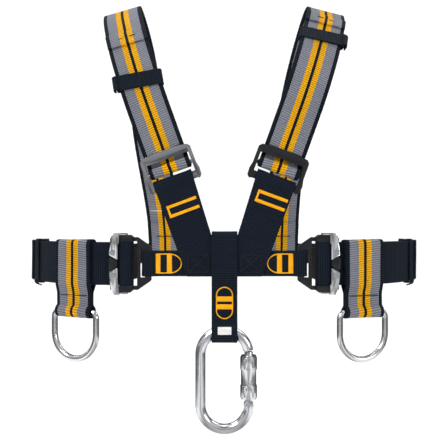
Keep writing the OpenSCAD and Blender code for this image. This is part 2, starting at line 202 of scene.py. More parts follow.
def webbingMaterial(name, widthMm, striped, look=webbingLook, columnMm=None):
    made, shader, surface = newMaterial(name)
    uv = shader.add("ShaderNodeUVMap", uv_map="strap").outputs[0]
    weave = shader.add("ShaderNodeGroup", {
        "Vector": uv, "Across": (columnMm or look["columnMm"]) * mm, "Along": look["rowMm"] * mm,
        "Shift": look["shift"] if striped else 0.0}, node_tree=weaveGroup).outputs
    wear = worn(shader, 26.0, 1400.0)
    if striped:
        across = shader.add("ShaderNodeSeparateXYZ", {0: uv}).outputs[0]
        share = shader.math("MULTIPLY_ADD", across, 1 / (widthMm * mm), 0.5)
        ramp = rampOf(shader, share, [(start, look[colour]) for start, colour in look["stripes"]])
        ramp.color_ramp.interpolation = "CONSTANT"
        base = ramp.outputs[0]
    else:
        base = look["black"][:3]
    # The colour takes the weave's painted shade in the rib grooves, times broad random patches and
    # fine grain
    patches = shader.math("MULTIPLY_ADD", wear["Cloud"], 0.35, 0.85)
    tone = shader.math("MULTIPLY", weave["Shade"], patches)
    tone = shader.math("MULTIPLY", tone, shader.math("MULTIPLY_ADD", wear["Grain"], 0.5, 0.75))
    paint(shader, surface, base, tone)
    relief = shader.math("MULTIPLY_ADD", wear["Grain"], 0.25, weave["Height"])
    emboss(shader, surface, relief, 0.9, look["bumpMm"])
    rough = shader.math("MULTIPLY_ADD", weave["Height"], -0.15, 0.78)
    shader.tree.links.new(rough, surface.inputs["Roughness"])
    surface.inputs["Sheen Weight"].default_value = 0.02
    surface.inputs["Sheen Roughness"].default_value = 0.5
    surface.inputs["Specular IOR Level"].default_value = 0.12
    return made


def threadMaterial(name, colour):
    made, shader, surface = newMaterial(name)
    wear = worn(shader, 160.0, 2600.0)
    paint(shader, surface, colour, shader.math("MULTIPLY_ADD", wear["Cloud"], 0.55, 0.72))
    emboss(shader, surface, wear["Grain"], 0.6, 0.2)
    surface.inputs["Roughness"].default_value = 0.55
    surface.inputs["Specular IOR Level"].default_value = 0.2
    return made


def metalMaterial(name, colour, roughness, metallic, coat=0.0):
    made, shader, surface = newMaterial(name)
    wear = worn(shader, 70.0, 900.0)
    paint(shader, surface, colour, shader.math("MULTIPLY_ADD", wear["Cloud"], 0.22, 0.88))
    gloss = shader.math("MULTIPLY_ADD", wear["Cloud"], 0.22, roughness - 0.09)
    shader.tree.links.new(gloss, surface.inputs["Roughness"])
    emboss(shader, surface, wear["Grain"], 0.25, 0.06)
    surface.inputs["Metallic"].default_value = metallic
    surface.inputs["Coat Weight"].default_value = coat
    return made


stripedWide = webbingMaterial("stripedWebbing", 45, True)
blackWide = webbingMaterial("blackWebbing", 45, False)
blackRib = webbingMaterial("ribbedElastic", 17, False, columnMm=0.8)
yellowThread = threadMaterial("yellowThread", (0.95, 0.43, 0.004))
darkThread = threadMaterial("darkThread", (0.012, 0.012, 0.016))
labelCloth = threadMaterial("labelCloth", (0.80, 0.80, 0.79))
polishedSteel = metalMaterial("polishedSteel", (0.80, 0.81, 0.84), 0.17, 1.0)
# Polished steel whose base colour is darkened as a painted dark reflection
paintedDarkReflectionSteel = metalMaterial("paintedDarkReflectionSteel", (0.40, 0.41, 0.44), 0.13, 1.0)
blackSteel = metalMaterial("blackSteel", (0.0040, 0.0052, 0.0080), 0.30, 0.0, coat=0.12)
print("materials made")


def placed(name, data):
    made = bpy.data.objects.new(name, data)
    bpy.context.scene.collection.objects.link(made)
    return made


def addPiece(name, points, faces, material, body, replaced=(), uv=None, smooth=True):
    mesh = bpy.data.meshes.new(name)
    mesh.from_pydata(points, [], faces)
    if uv is not None:
        layer = mesh.uv_layers.new(name="strap")
        layer.data.foreach_set("uv", np.ascontiguousarray(uv, dtype=np.float32).ravel())
    mesh.polygons.foreach_set("use_smooth", np.full(len(mesh.polygons), smooth))
    mesh.materials.append(material)
    mesh.update()
    piece = placed(name, mesh)
    settlePiece(piece, body, replaced)
    return piece


def settlePiece(piece, body, replaced=()):
    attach(piece, body)
    if replaced:
        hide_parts(*replaced)


def enclosed(points, faces):
    # Six times the volume by the sum of a . (b x c) over a fan of each quad
    a, b, c, d = (points[faces[:, k]] for k in range(4))
    return np.einsum("ij,ij->", a, np.cross(b, c)) + np.einsum("ij,ij->", a, np.cross(c, d))


def tubeFaces(rows, columns, ring):
    # A quad for each step along (rows) and round (columns); ring joins the last row to the first
    i = np.arange(rows if ring else rows - 1)[:, None]
    j = np.arange(columns)[None, :]
    nextI = (i + 1) % rows
    nextJ = (j + 1) % columns
    quads = np.stack([i * columns + j + 0 * nextI, i * columns + nextJ,
                      nextI * columns + nextJ, nextI * columns + j], axis=-1)
    return quads.reshape(-1, 4)


def slabFaces(rows, columns):
    # A grid of top points, then the same grid of under points: both faces and the rim's wall
    total = rows * columns
    i, j = np.meshgrid(np.arange(rows - 1), np.arange(columns - 1), indexing="ij")
    corner = (i * columns + j).ravel()
    quads = np.stack([corner, corner + 1, corner + columns + 1, corner + columns], axis=-1)
    rim = np.r_[np.arange(columns), np.arange(1, rows) * columns + columns - 1,
                (rows - 1) * columns + np.arange(columns - 2, -1, -1),
                np.arange(rows - 2, 0, -1) * columns]
    wall = np.stack([rim, rim + total, np.roll(rim, -1) + total, np.roll(rim, -1)], axis=-1)
    return np.vstack([quads, (quads + total)[:, ::-1], wall])


def outwardFaces(points, faces):
    return faces[:, ::-1] if enclosed(points - points.mean(axis=0), faces) < 0 else faces


def smoothPath(points, stepMm=1.2, softMm=2.4, ring=False):
    # Even spacing along the path, then a moving average over softMm rounds its corners
    points = np.asarray(points, float)
    if ring:
        points = np.vstack([points, points[:1]])
    lengths = np.r_[0, np.cumsum(np.linalg.norm(np.diff(points, axis=0), axis=1))]
    count = max(int(lengths[-1] / (stepMm * mm)), 8)
    at = np.linspace(0, lengths[-1], count, endpoint=not ring)
    even = np.stack([np.interp(at, lengths, points[:, k]) for k in range(3)], axis=1)
    reach = max(int(softMm / stepMm), 1)
    for _ in range(2):
        if ring:
            even = sum(np.roll(even, k, axis=0) for k in range(-reach, reach + 1)) / (2 * reach + 1)
        else:
            padded = np.pad(even, ((reach, reach), (0, 0)), mode="reflect", reflect_type="odd")
            even = sum(padded[k:k + len(even)] for k in range(2 * reach + 1)) / (2 * reach + 1)
    return even


def tangents(path, ring):
    # The way along the path at each point, from the points on either side of it
    if ring:
        step = np.roll(path, -1, axis=0) - np.roll(path, 1, axis=0)
    else:
        step = np.gradient(path, axis=0)
    return step / np.linalg.norm(step, axis=1, keepdims=True)


def webbingProfile(width, thick, count=16):
    # Across the width: flat faces, round selvedges a little thicker than the middle
    share = np.sin(np.linspace(-math.pi / 2, math.pi / 2, count))
    across = share * width / 2
    fromEdge = width / 2 - np.abs(across)
    edge = np.sqrt(np.clip(1 - np.clip(1 - fromEdge / (thick / 2), 0, 1) ** 2, 0.02, 1))
    bead = 1 + 0.12 * np.exp(-((fromEdge - thick * 0.7) / (thick * 0.6)) ** 2)
    half = thick / 2 * edge * bead
    return np.r_[across, across[::-1]], np.r_[half, -half[::-1]]


def webbing(name, path, across, widthMm, material, body="harness",
            replaced=(), ring=False, thickMm=2.2, softMm=2.4, wobbleMm=0.12, smoothed=True):
    # The profile is carried along the path; across is the direction of the width at each point
    path = smoothPath(path, softMm=softMm, ring=ring) if smoothed else np.asarray(path)
    along = tangents(path, ring)
    across = np.broadcast_to(across, path.shape).astype(float)
    across = across - along * np.sum(across * along, axis=1, keepdims=True)
    across = across / np.linalg.norm(across, axis=1, keepdims=True)
    outward = np.cross(along, across)
    a, b = webbingProfile(widthMm * mm, thickMm * mm)
    step = np.linalg.norm(np.diff(path, axis=0), axis=1)
    run = np.r_[0, np.cumsum(step)]
    runWave, widthWave = 17 * mm, 13 * mm
    wave = wobbleMm * mm * np.sin(run / runWave + a[:, None] / widthWave).T
    points = (path[:, None, :] + across[:, None, :] * a[None, :, None]
              + outward[:, None, :] * (b[None, :] + wave)[:, :, None])
    rows, columns = points.shape[:2]
    faces = tubeFaces(rows, columns, ring)
    flat = points.reshape(-1, 3)
    rowOf = faces // columns
    columnOf = faces % columns
    length = np.r_[run, run[-1] + (step.mean() if ring else 0)]
    rowForUv = np.where((rowOf == 0) & (rowOf.max(axis=1, keepdims=True) == rows - 1) & ring,
                        rows, rowOf)
    uv = np.stack([a[columnOf], length[rowForUv]], axis=-1)
    if enclosed(flat, faces) < 0:
        faces = faces[:, ::-1]
        uv = uv[:, ::-1]
    faceList = faces.tolist()
    uv = uv.reshape(-1, 2)
    if not ring:
        # Close both cut ends with strips from the top edge to the bottom edge
        half = columns // 2
        k = np.arange(half - 1)
        cap = np.stack([k, k + 1, columns - 2 - k, columns - 1 - k], axis=-1)
        ends = np.vstack([cap, (cap + (rows - 1) * columns)[:, ::-1]])
        if np.dot(np.cross(flat[ends[0, 1]] - flat[ends[0, 0]], flat[ends[0, 3]] - flat[ends[0, 0]]),
                  along[0]) > 0:
            ends = ends[:, ::-1]
        faceList += ends.tolist()
        capUv = np.stack([a[ends % columns], np.zeros(ends.shape)], axis=-1)
        uv = np.vstack([uv, capUv.reshape(-1, 2)])
    return addPiece(name, flat.tolist(), faceList, material, body, replaced, uv)


def roundBar(name, path, radiusMm, material, body, replaced=(), ring=False, beadMm=0.0,
             beadStepMm=1.6, around=20):
    # A circle carried along the path; beads swell it like single stitches
    path = np.asarray(path, float)
    along = tangents(path, ring)
    helper = np.where(np.abs(along[:, :1]) < 0.9, rightAxis, upAxis)
    first = np.cross(along, helper)
    plane = np.cross(along[len(path) // 4], path[len(path) // 2] - path[0])
    if np.linalg.norm(plane) > 1e-9:
        first = np.broadcast_to(plane, path.shape)
        first = first - along * np.sum(first * along, axis=1, keepdims=True)
    first = first / np.linalg.norm(first, axis=1, keepdims=True)
    second = np.cross(along, first)
    angle = np.linspace(0, 2 * math.pi, around, endpoint=False)
    run = np.r_[0, np.cumsum(np.linalg.norm(np.diff(path, axis=0), axis=1))]
    radius = radiusMm * mm + beadMm * mm * np.abs(np.sin(run * math.pi / (beadStepMm * mm)))
    points = path[:, None, :] + radius[:, None, None] * (
        first[:, None, :] * np.cos(angle)[None, :, None]
        + second[:, None, :] * np.sin(angle)[None, :, None])
    rows, columns = points.shape[:2]
    flat = points.reshape(-1, 3)
    faces = tubeFaces(rows, columns, ring)
    if enclosed(flat, faces) < 0:
        faces = faces[:, ::-1]
    faceList = faces.tolist()
    if not ring:
        forward = np.dot(np.cross(flat[1] - flat[0], flat[2] - flat[0]), along[0]) > 0
        start = list(range(columns))
        end = [(rows - 1) * columns + k for k in range(columns)]
        faceList += [start[::-1], end] if forward else [start, end[::-1]]
    return addPiece(name, flat.tolist(), faceList, material, body, replaced)


def bartack(name, centre, lengthwise, sideways, lengthMm, widthMm, material, body="harness",
            pitchMm=0.9, riseMm=0.75):
    # A pad of threads laid side by side: |sin| ridges along its length, round across its width
    rows = int(lengthMm / pitchMm * 6) + 1
    columns = 9
    s = np.linspace(-0.5, 0.5, rows)[:, None]
    t = np.linspace(-0.5, 0.5, columns)[None, :]
    ridge = 0.55 + 0.45 * np.abs(np.sin(s * lengthMm / pitchMm * math.pi))
    crown = np.sqrt(np.clip(1 - (2 * t) ** 4, 0, 1)) * np.sqrt(np.clip(1 - (2 * s) ** 40, 0, 1))
    rise = riseMm * mm * ridge * crown
    jag = 0.12 * mm * np.sign(t) * np.cos(s * lengthMm / pitchMm * 2 * math.pi) * (np.abs(t) > 0.4)
    lengthwise = np.asarray(lengthwise, float)
    sideways = np.asarray(sideways, float)
    outward = np.cross(lengthwise, sideways)
    if outward[1] > 0:
        outward = -outward
    top = (np.asarray(centre) + lengthwise * (s * lengthMm * mm)[:, :, None]
           + sideways * (t * widthMm * mm + jag)[:, :, None] + outward * rise[:, :, None])
    under = top - outward * (rise[:, :, None] + 0.3 * mm)
    flat = np.vstack([top.reshape(-1, 3), under.reshape(-1, 3)])
    faces = outwardFaces(flat, slabFaces(rows, columns))
    return addPiece(name, flat.tolist(), faces.tolist(), material, body)


def outlineStitch(name, path, ring=False):
    # A thin line of yellow stitches along a path
    roundBar(name, smoothPath(path, 0.4, 0.4, ring=ring), 0.45, yellowThread, "harness",
             ring=ring, beadMm=0.25, around=8)


def finishedMetal(node, material, body, bevelMm=0.6, segments=3):
    # A merged copy of the CAD piece with rounded edges stands for the sharp one
    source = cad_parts[node]
    mesh = source.data.copy()
    mesh.materials.clear()
    work = bmesh.new()
    work.from_mesh(mesh)
    bmesh.ops.remove_doubles(work, verts=work.verts, dist=1e-6)
    bmesh.ops.dissolve_limit(work, angle_limit=math.radians(1), verts=work.verts, edges=work.edges)
    bmesh.ops.recalc_face_normals(work, faces=work.faces)
    for face in work.faces:
        face.smooth = True
    work.to_mesh(mesh)
    work.free()
    mesh.materials.append(material)
    piece = placed(node + "_finished", mesh)
    bevel = piece.modifiers.new("edges", "BEVEL")
    bevel.width = bevelMm * mm
    bevel.segments = segments
    bevel.limit_method = "ANGLE"
    bevel.angle_limit = math.radians(35)
    bevel.harden_normals = True
    settlePiece(piece, body, (node,))
    return piece


def arc(centreA, centreB, radius, startDeg, endDeg, count):
    # Points round a centre, the angle counted from the first axis towards the second
    turn = np.radians(np.linspace(startDeg, endDeg, count))
    return np.stack([centreA + radius * np.cos(turn), centreB + radius * np.sin(turn)], axis=1)


strapShape = {
    "crestX": 122, "crestZ": 1.1, "crestSlope": 0.27, "frontSlope": 0.37, "backSlope": 0.03,
    "frontEnd": 181, "backEnd": 285, "frontRise": 130, "backRise": 110,
    "slideZ": 14, "slideTravel": 2.5, "eyeR": 4.1, "barToCurve": 35, "widthMm": 45,
    "leftTailEnd": 52, "rightTailEnd": 28, "tailGap": 2.35, "hemMm": 21, "hemStitch": 6.5,
    "leftBow": 8, "rightBow": 0, "backGap": 2.5,
}


def dropOf(height):
    # How far a height in mm lies below the crest of the strap
    return strapShape["crestZ"] - height


def strapPlaces(drop, front, bow=0, shape=strapShape):
    # X falls with the drop below the crest by a slope that itself changes evenly with the drop;
    # behind, a squared sine adds the outward bow between the crest and the belt
    end = shape["frontEnd"] if front else shape["backEnd"]
    last = shape["frontSlope"] if front else shape["backSlope"]
    slope = shape["crestSlope"] + (last - shape["crestSlope"]) * np.minimum(drop / end, 1)
    inner = np.minimum(drop, end)
    innerSlope = shape["crestSlope"] + (last - shape["crestSlope"]) * inner / end
    x = shape["crestX"] - inner * (shape["crestSlope"] + innerSlope) / 2 - last * (drop - inner)
    if not front:
        turn = math.pi * inner / end
        x = x + bow * np.sin(turn) ** 2
        slope = slope - bow * math.pi / end * np.sin(2 * turn)
    return x, slope


def strapTilt(shape=strapShape):
    return math.atan(shape["frontSlope"])


def buckleCentre(shape=strapShape):
    endX = shape["crestX"] - (shape["crestSlope"] + shape["frontSlope"]) / 2 * shape["frontEnd"]
    return (endX - shape["barToCurve"] * math.sin(strapTilt()),
            shape["crestZ"] - shape["frontEnd"] - shape["barToCurve"] * math.cos(strapTilt()))


def strapLine(shape=strapShape):
    # Points as y, z and whether in front of the crest: round the slide bar, a quarter of an
    # ellipse up to the crest, a quarter down the back, then round the back belt
    frontY = place["frontY"] / mm
    backY = place["backY"] / mm
    beltZ = place["beltZ"] / mm
    barZ = buckleCentre()[1]
    eye = np.vstack([
        arc(0, shape["slideZ"] + shape["slideTravel"], shape["eyeR"], 50, 0, 6),
        arc(0, shape["slideZ"], shape["eyeR"], 0, -180, 14),
        [[-shape["eyeR"], shape["slideZ"] + shape["slideTravel"]]]])
    eye = np.stack([frontY - eye[:, 0], barZ + math.cos(strapTilt()) * eye[:, 1]], axis=1)
    turn = np.radians(np.linspace(0, 90, 40))
    rise = np.stack([(frontY + shape["eyeR"]) * np.cos(turn),
                     shape["crestZ"] - shape["frontRise"] * (1 - np.sin(turn))], axis=1)
    outer = backY + shape["backGap"]
    fall = np.stack([outer * np.sin(turn),
                     shape["crestZ"] - shape["backRise"] * (1 - np.cos(turn))], axis=1)[1:]
    straight = np.linspace(-shape["backRise"] - 5, beltZ + 50, 24)[:, None]
    fall = np.vstack([fall, np.hstack([np.full_like(straight, outer), straight])])
    low = np.vstack([
        [[outer, beltZ + 45], [outer, beltZ]],
        arc(backY, beltZ - 13.9, shape["backGap"], 0, -180, 10),
        [[backY - shape["backGap"], beltZ + 14], [backY + 0.1, beltZ + 20],
         [backY + 0.1, beltZ + 42]]])
    frontCount = len(eye) + len(rise)
    line = np.vstack([eye, rise, fall, low])
    return line, np.arange(len(line)) < frontCount


def strapPath(side, bow):
    line, front = strapLine()
    drop = dropOf(line[:, 1])
    x = np.where(front, strapPlaces(drop, True)[0], strapPlaces(drop, False, bow)[0])
    return np.stack([side * x, line[:, 0], line[:, 1]], axis=1) * mm


def leaning(side, slope):
    # The direction of the width where the strap has that slope
    return np.stack([side * np.ones(len(slope)), np.zeros(len(slope)), -slope], axis=1)


def acrossStrap(path, side, bow=0):
    # The width leans by the slope of the strap at that drop
    drop = dropOf(path[:, 2] / mm)
    crest = int(np.argmax(path[:, 2]))
    front = np.arange(len(path)) < crest
    return leaning(side, np.where(front, strapPlaces(drop, True)[1],
                                  strapPlaces(drop, False, bow)[1]))


def acrossTail(path, side):
    return leaning(side, strapPlaces(dropOf(path[:, 2] / mm), True)[1])


def makeShoulderStrap(name, side, tailEnd, shape=strapShape):
    bow = shape[name + "Bow"]
    path = smoothPath(strapPath(side, bow), softMm=1.6)
    webbing(name + "_strap_webbing", path, acrossStrap(path, side, bow), shape["widthMm"],
            stripedWide, replaced=(name + "_shoulder_strap",),
            smoothed=False, wobbleMm=0.25)
    # The free tail lies on the strap from the frame buckle up to a folded hem
    drop = dropOf(path[:, 2] / mm)
    crest = int(np.argmax(path[:, 2]))
    index = np.arange(len(path))
    onFront = (index < crest) & (drop < shape["frontEnd"] + 1) & (drop > tailEnd) & (path[:, 1] < 0)
    along = tangents(path, False)
    across = acrossStrap(path, side)
    out = np.cross(along, across)
    out = out / np.linalg.norm(out, axis=1, keepdims=True)
    out = out * np.sign(np.sum(out * np.array([0, -1, 0.6]), axis=1, keepdims=True))
    tail = (path + out * shape["tailGap"] * mm)[onFront]
    fold = tail[-1] + along[onFront][-1] * 1.2 * mm + out[onFront][-1] * webFace * mm
    count = int(shape["hemMm"] / 1.2)
    hem = (path + out * 2 * shape["tailGap"] * mm)[onFront][::-1][:count]
    full = np.vstack([tail, fold[None], hem])
    tailPath = smoothPath(full, softMm=1.2)
    lean = acrossStrap(tail, side).mean(axis=0)
    webbing(name + "_strap_tail", tailPath, acrossTail(tailPath, side), shape["widthMm"],
            stripedWide, smoothed=False, wobbleMm=0.2)
    seam = hem[count // 2]
    lean = lean / np.linalg.norm(lean)
    rise = out[onFront][-1 - count // 2]
    for k, shift in enumerate((-shape["hemStitch"], shape["hemStitch"])):
        bartack(f"{name}_hem_stitch_{k + 1}", seam + lean * shift * mm + rise * 1.1 * mm,
                lean, np.cross(rise, lean), shape["hemStitch"], 1.0, darkThread, riseMm=0.35)
    return path, out


keeperShape = {"leftDrop": 108, "rightDrop": 57, "lengthMm": 17, "thickMm": 1.5,
               "halfWidth": 24.3, "under": 2.0, "over": 4.6}


def makeStrapKeeper(name, side, drop, path, out, shape=keeperShape):
    # An elastic band round the strap and its tail, with a short folded end at its outer edge
    drops = dropOf(path[:, 2] / mm)
    crest = int(np.argmax(path[:, 2]))
    at = int(np.argmin(np.abs(drops[:crest] - drop) + (path[:crest, 1] > 0) * 1e3))
    across = acrossStrap(path[at:at + 1], side)[0]
    across = across / np.linalg.norm(across)
    rise = out[at]
    up = np.cross(across, rise)
    half, under, over = shape["halfWidth"], shape["under"], shape["over"]
    outline = np.array([[0, over], [half, over], [half, -under], [-half, -under], [-half, over]])
    ringPath = path[at] + (outline[:, :1] * across + outline[:, 1:] * rise) * mm
    webbing(name + "_keeper_band", ringPath, up, shape["lengthMm"], blackRib,
            replaced=(name + "_strap_keeper",), ring=True, thickMm=shape["thickMm"], softMm=1.2)
    lug = np.array([[half - 2, over + 1.5], [half + 2, over + 1.2], [half + 4, over - 2],
                    [half + 2.2, -under - 0.4]])
    lugPath = path[at] + (lug[:, :1] * across + lug[:, 1:] * rise) * mm
    webbing(name + "_keeper_end", lugPath, up, shape["lengthMm"] - 1, blackRib,
            thickMm=1.3, softMm=1.2)


rearStitch = {"z": -275, "lengthMm": 23, "faceY": -3.7, "tagZ": -240.5, "tagMm": 16, "tagShift": 9}


def makeRearStitch(name, side, shape=rearStitch):
    # A dark seam across the fold where the strap goes round the back belt
    x = float(strapPlaces(np.array(dropOf(shape["z"])), False)[0])
    y = place["backY"] / mm + shape["faceY"] + strapShape["backGap"]
    bartack(name + "_rear_stitch", np.array([side * x, y, shape["z"]]) * mm, rightAxis, upAxis,
            shape["lengthMm"], 1.2, darkThread, riseMm=0.35)
    if side < 0:
        # A pale tacking thread further up, on the front of the rear run
        x = float(strapPlaces(np.array(dropOf(shape["tagZ"])), False, strapShape["leftBow"])[0])
        y = place["backY"] / mm - webFace + strapShape["backGap"]
        at = np.array([side * (x + shape["tagShift"]), y, shape["tagZ"]])
        bartack(name + "_rear_tack_thread", at * mm, rightAxis, upAxis,
                shape["tagMm"], 0.8, labelCloth, riseMm=0.35)


for sideName, side in (("left", -1), ("right", 1)):
    makeRearStitch(sideName, side)
    strap, strapOut = makeShoulderStrap(sideName, side, strapShape[sideName + "TailEnd"])
    makeStrapKeeper(sideName, side, keeperShape[sideName + "Drop"], strap, strapOut)
print("shoulder straps made")


riserShape = {"widthMm": 45, "tackMm": 33, "tackWide": 3.4,
              "leftRows": (-23.2, -33.0), "rightRows": (-14.8, -24.6),
              "leftShift": 1.2, "rightShift": 4.0, "frontW": 3.5,
              "footHalf": 13.5, "joinTop": 29.7, "joinGap": 0.3, "joinX": 13.4, "joinSlope": 0.31}


def buckleFrame(side):
    # The middle of the frame buckle's lower bar, the way along the bar and the way up the strap
    x, z = buckleCentre()
    tilt = strapTilt()
    origin = np.array([side * x, place["frontY"] / mm, z]) * mm
    alongBar = np.array([side * math.cos(tilt), 0, -math.sin(tilt)])
    upStrap = np.array([side * math.sin(tilt), 0, math.cos(tilt)])
    return origin, alongBar, upStrap


def makeRiser(name, side, shape=riserShape):
    # Flat ribbon down the front with its top turned over the bar; the inner edge is cut where
    # the two risers meet, by moving those points out to the cutting line
    origin, alongBar, upStrap = buckleFrame(side)
    line = np.vstack([[[0, -38], [0, -13], [-3.5, -6.5]], arc(0, 3.2, 3.5, 180, 0, 14),
                      [[3.5, -2], [2.4, -9], [2.4, -118]]])
    path = origin + (line[:, :1] * np.array([0, -1, 0]) + line[:, 1:] * upStrap) * mm
    piece = webbing(name + "_riser_webbing", path, alongBar, shape["widthMm"], blackWide,
                    replaced=(name + "_riser",), wobbleMm=0.2)
    count = len(piece.data.vertices)
    flat = np.empty(count * 3)
    piece.data.vertices.foreach_get("co", flat)
    flat = flat.reshape(-1, 3)
    low = place["beltZ"] - shape["footHalf"] * mm
    vBottom = place["beltZ"] + shape["footHalf"] * mm
    loopTop = place["beltZ"] + shape["joinTop"] * mm
    gap = shape["joinGap"] * mm
    risen = np.clip((flat[:, 2] - vBottom) / (loopTop - vBottom), 0, 1)
    edge = np.where(flat[:, 2] < vBottom, gap, gap + risen * shape["joinX"] * mm)
    edge = edge + np.clip(flat[:, 2] - loopTop, 0, None) * shape["joinSlope"]
    x = np.maximum(side * flat[:, 0], edge)
    flat[:, 0] = side * x
    flat[:, 2] = np.maximum(flat[:, 2], low)
    piece.data.vertices.foreach_set("co", flat.ravel())
    piece.data.update()
    front = origin + np.array([0, -shape["frontW"], 0]) * mm + alongBar * shape[name + "Shift"] * mm
    for k, row in enumerate(shape[name + "Rows"]):
        bartack(f"{name}_riser_tack_{k + 1}", front + (upStrap * row) * mm, alongBar, upStrap,
                shape["tackMm"], shape["tackWide"], yellowThread)
    tie = -1 if side > 0 else 1
    link = front + (upStrap * sum(shape[name + "Rows"]) / 2
                    + alongBar * tie * (shape["tackMm"] / 2 - 1.2)) * mm
    bartack(f"{name}_riser_tack_3", link, upStrap, alongBar, 8, 2.2, yellowThread)


footSeam = {"inX": 17, "outX": 38, "halfTall": 9, "frontW": 3.7, "radiusMm": 0.35}


def makeFootSeam(name, side, shape=footSeam):
    # Black box and cross stitching where the riser's foot is sewn to the chest belt
    a, b, h = shape["inX"], shape["outX"], shape["halfTall"]
    turns = np.array([[a, -h], [b, -h], [b, h], [a, h], [a, -h], [b, h], [b, -h], [a, h]], float)
    seam = np.column_stack([side * turns[:, 0] * mm,
                            np.full(len(turns), place["frontY"] - shape["frontW"] * mm),
                            place["beltZ"] + turns[:, 1] * mm])
    roundBar(name + "_riser_foot_seam", smoothPath(seam, 0.5, 0.5), shape["radiusMm"], darkThread,
             "harness", beadMm=0.25, around=6)


for sideName, side in (("left", -1), ("right", 1)):
    makeRiser(sideName, side)
    makeFootSeam(sideName, side)
print("risers made")


chestShape = {"widthMm": 27, "eyeR": 3.4, "tailX": 48, "dBars": (69.6, 57.6), "dBarWide": 5.4,
              "dBarTall": 21, "arcReach": 45}


def planPath(points, z):
    # Points in plan, in mm, set at one height
    points = np.asarray(points, float)
    return np.column_stack([points[:, 0], points[:, 1], np.full(len(points), z / mm)]) * mm


def makeChestBelt(shape=chestShape):
    # Straight across the front, round a fork at each end and back on itself behind
    y = place["frontY"] / mm
    forkX = place["forkX"] / mm
    end = np.vstack([
        [[shape["tailX"], y + 2.4], [forkX - 4, y + 2.4], [forkX - 1, y + 3.4]],
        arc(forkX + 6, y, shape["eyeR"], 90, -90, 12),
        [[forkX - 1, y - 3.4], [forkX - 4, y]]])
    other = end[::-1] * np.array([-1, 1])
    webbing("chest_belt_webbing", planPath(np.vstack([end, other]), place["beltZ"]), upAxis,
            shape["widthMm"], blackWide, replaced=("chest_belt",), softMm=1.6)
    surface = (y - webFace) * mm
    for sideName, side in (("left", -1), ("right", 1)):
        for k, x in enumerate(shape["dBars"]):
            bartack(f"{sideName}_belt_tack_{k + 1}",
                    np.array([side * x * mm, surface, place["beltZ"]]), upAxis, rightAxis,
                    shape["dBarTall"], shape["dBarWide"], yellowThread)
        half = shape["dBarTall"] / 2 - 0.6
        turn = np.radians(np.linspace(90, -90, 60))
        outer, inner = shape["dBars"]
        reach = inner - shape["arcReach"]
        bow = np.column_stack([
            side * (inner - reach * np.cos(turn)) * mm,
            np.full(len(turn), surface - threadLift), place["beltZ"] + half * np.sin(turn) * mm])
        lineUp = np.array([[side * outer * mm, surface - threadLift, place["beltZ"] + half * mm]])
        lineDown = lineUp * np.array([1, 1, 0]) + np.array([0, 0, place["beltZ"] - half * mm])
        stitch = np.vstack([lineUp, bow, lineDown])
        outlineStitch(f"{sideName}_belt_d_stitch", stitch)


loopShape = {"widthMm": 27, "topW": (-2.6, 5.0), "topZ": 32.6, "lowZ": -13.5, "waistW": (0.0, 2.4),
             "eyeDrop": 72.2, "eyeW": 1.2, "eyeR": 9.5, "ovalZ": -41, "ovalHalf": 16.3,
             "ovalWide": 9, "ovalInset": 0.7, "ovalPoints": 160, "tackTall": 5.3,
             "tackZ": (-36.9, -45.1), "labelMm": (14, 8), "labelDeg": 18, "labelRise": (1.75, 1.1)}


def makeCentreLoop(shape=loopShape):
    # A closed band: over the chest belt at the top, narrow at the waist, round at the lower eye
    back, front = shape["topW"]
    backWaist, frontWaist = shape["waistW"]
    eye = arc(shape["eyeW"], -shape["eyeDrop"], shape["eyeR"], 62, -242, 34)
    line = np.vstack([
        [[back, shape["topZ"] - 2], [back + 1.5, shape["topZ"]], [front - 1.5, shape["topZ"]],
         [front, shape["topZ"] - 2], [front, shape["lowZ"]], [frontWaist, shape["lowZ"] - 6],
         [frontWaist, -shape["eyeDrop"] + 14]],
        eye,
        [[backWaist, -shape["eyeDrop"] + 14], [backWaist, shape["lowZ"] - 6],
         [back, shape["lowZ"]]]])
    path = np.column_stack([np.zeros(len(line)), place["frontY"] - line[:, 0] * mm,
                            place["beltZ"] + line[:, 1] * mm])
    webbing("centre_loop_webbing", path, rightAxis, shape["widthMm"], blackWide,
            replaced=("centre_loop",), ring=True, softMm=1.6, wobbleMm=0.1)
    surface = place["frontY"] - (frontWaist + webFace) * mm
    for k, z in enumerate(shape["tackZ"]):
        bartack(f"centre_loop_tack_{k + 1}", np.array([0, surface, place["beltZ"] + z * mm]),
                rightAxis, upAxis, shape["ovalWide"] * 2 - 0.5, shape["tackTall"], yellowThread)
    turn = np.linspace(0, 2 * math.pi, shape["ovalPoints"], endpoint=False)
    straight = shape["ovalHalf"] - shape["ovalWide"] + shape["ovalInset"]
    radius = shape["ovalWide"] - shape["ovalInset"]
    oval = np.column_stack([
        radius * np.cos(turn) * mm, np.full(len(turn), surface - threadLift),
        place["beltZ"] + (shape["ovalZ"] + radius * np.sin(turn)
                          + straight * np.sign(np.sin(turn))) * mm])
    outlineStitch("centre_loop_oval_stitch", oval, ring=True)


def makeBlankLabel(shape=loopShape):
    # A thin slab of cloth bent round the front of the lower eye
    wide, tall = shape["labelMm"]
    s, t = np.meshgrid(np.linspace(-0.5, 0.5, 16), np.linspace(-0.5, 0.5, 12), indexing="ij")
    turn = math.radians(shape["labelDeg"]) + t * tall / (shape["eyeR"] + 1.5)
    centreY = place["frontY"] - shape["eyeW"] * mm
    centreZ = place["beltZ"] - shape["eyeDrop"] * mm
    layers = []
    for rise in shape["labelRise"]:
        reach = (shape["eyeR"] + rise) * mm
        layers.append(np.stack([s * wide * mm, centreY - reach * np.cos(turn),
                                centreZ + reach * np.sin(turn)], axis=-1).reshape(-1, 3))
    points = np.vstack(layers)
    faces = outwardFaces(points, slabFaces(*s.shape))
    addPiece("blank_label", points.tolist(), faces.tolist(), labelCloth, "harness",
             ("loop_label",), smooth=False)


makeChestBelt()
makeCentreLoop()
makeBlankLabel()
print("chest belt and centre loop made")


